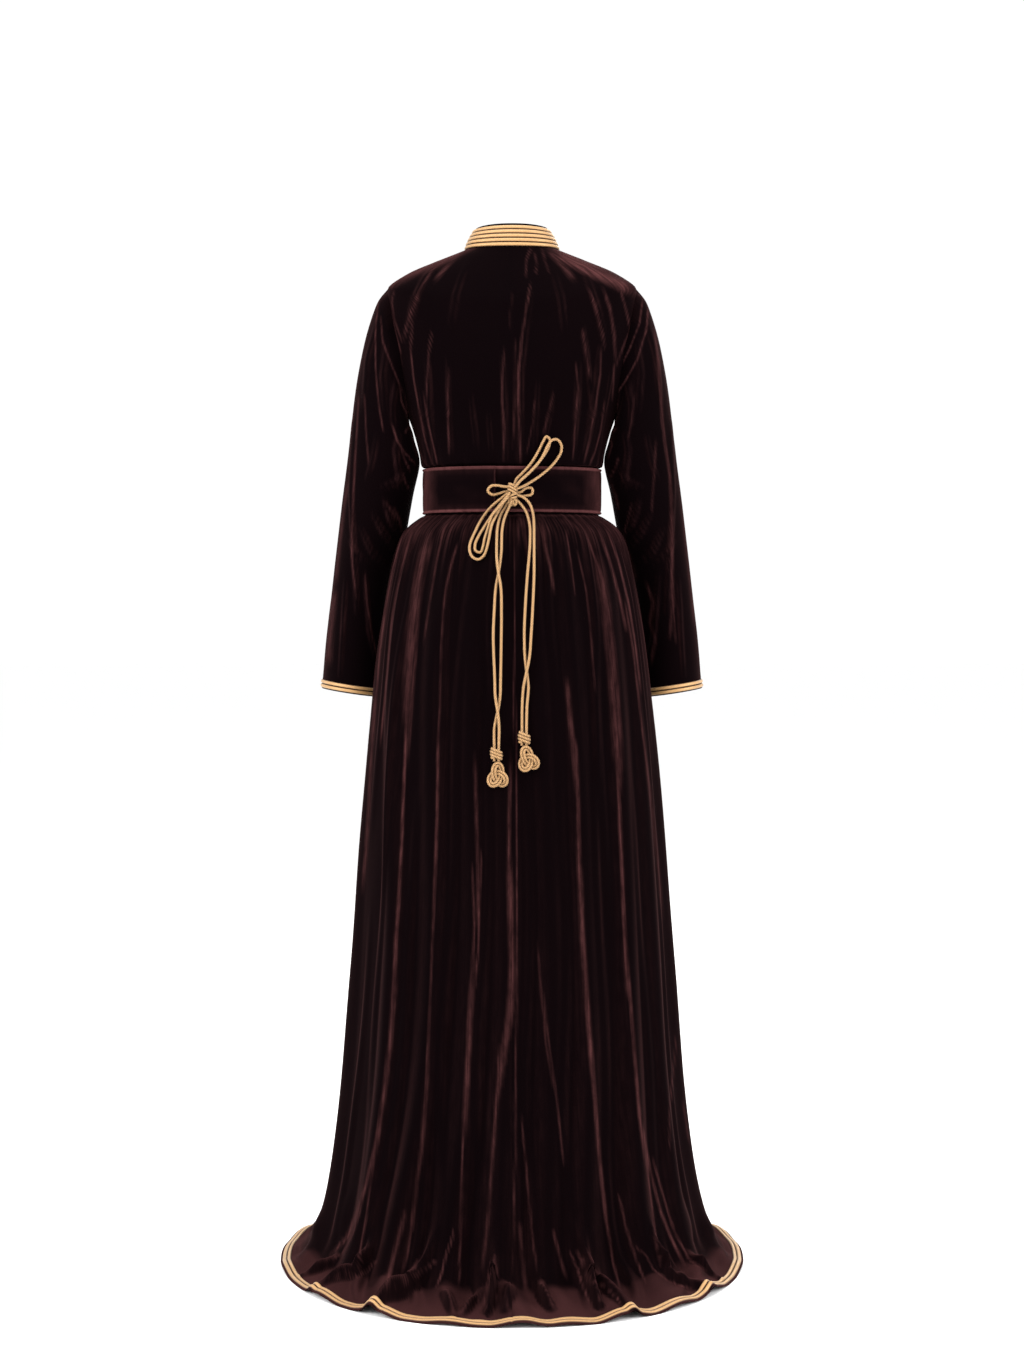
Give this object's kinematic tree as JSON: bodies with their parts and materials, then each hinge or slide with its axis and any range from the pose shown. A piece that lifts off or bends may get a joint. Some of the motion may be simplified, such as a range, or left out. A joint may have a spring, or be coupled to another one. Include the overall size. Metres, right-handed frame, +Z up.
{
  "type": "kaftan",
  "caption": "Long velvet kaftan in worn form, with gathered skirt and short train, long sleeves, stand collar, wide laced belt and gold braid edges.",
  "frame": {"origin": "on the centre line at the height of the neck's base, between the shoulders that carry the garment", "axes": "+Z up, +Y behind the wearer, +X to the wearer's left"},
  "size_m": [0.704, 0.7125, 1.5708],
  "materials": {
    "velvet": "dark aubergine-brown pile velvet with a soft rosy sheen",
    "gold_braid": "flat plaited braid of gold thread",
    "gold_cord": "twisted cord of gold silk thread"
  },
  "bodies": {
    "root": {"skirt_back_left": "velvet", "skirt_back_right": "velvet", "skirt_front_left": "velvet", "skirt_front_right": "velvet", "bodice_back_left": "velvet", "bodice_back_right": "velvet", "bodice_front_left": "velvet", "bodice_front_right": "velvet", "sleeve_left": "velvet", "sleeve_right": "velvet", "collar": "velvet", "belt": "velvet", "collar_braid_1": "gold_braid", "collar_braid_2": "gold_braid", "collar_braid_3": "gold_braid", "collar_braid_4": "gold_braid", "collar_braid_5": "gold_braid", "cuff_braid_left_1": "gold_braid", "cuff_braid_left_2": "gold_braid", "cuff_braid_right_1": "gold_braid", "cuff_braid_right_2": "gold_braid", "hem_braid_1": "gold_braid", "hem_braid_2": "gold_braid", "bow_up_1": "gold_cord", "bow_up_2": "gold_cord", "bow_down_1": "gold_cord", "bow_down_2": "gold_cord", "lace_eye_left": "gold_cord", "lace_eye_right": "gold_cord", "tail_left_a": "gold_cord", "tail_left_b": "gold_cord", "tail_right_a": "gold_cord", "tail_right_b": "gold_cord", "lace_knot": "gold_cord", "tail_wrap_left": "gold_cord", "tail_wrap_right": "gold_cord", "tail_knot_left": "gold_cord", "tail_knot_right": "gold_cord"}
  },
  "joints": []
}
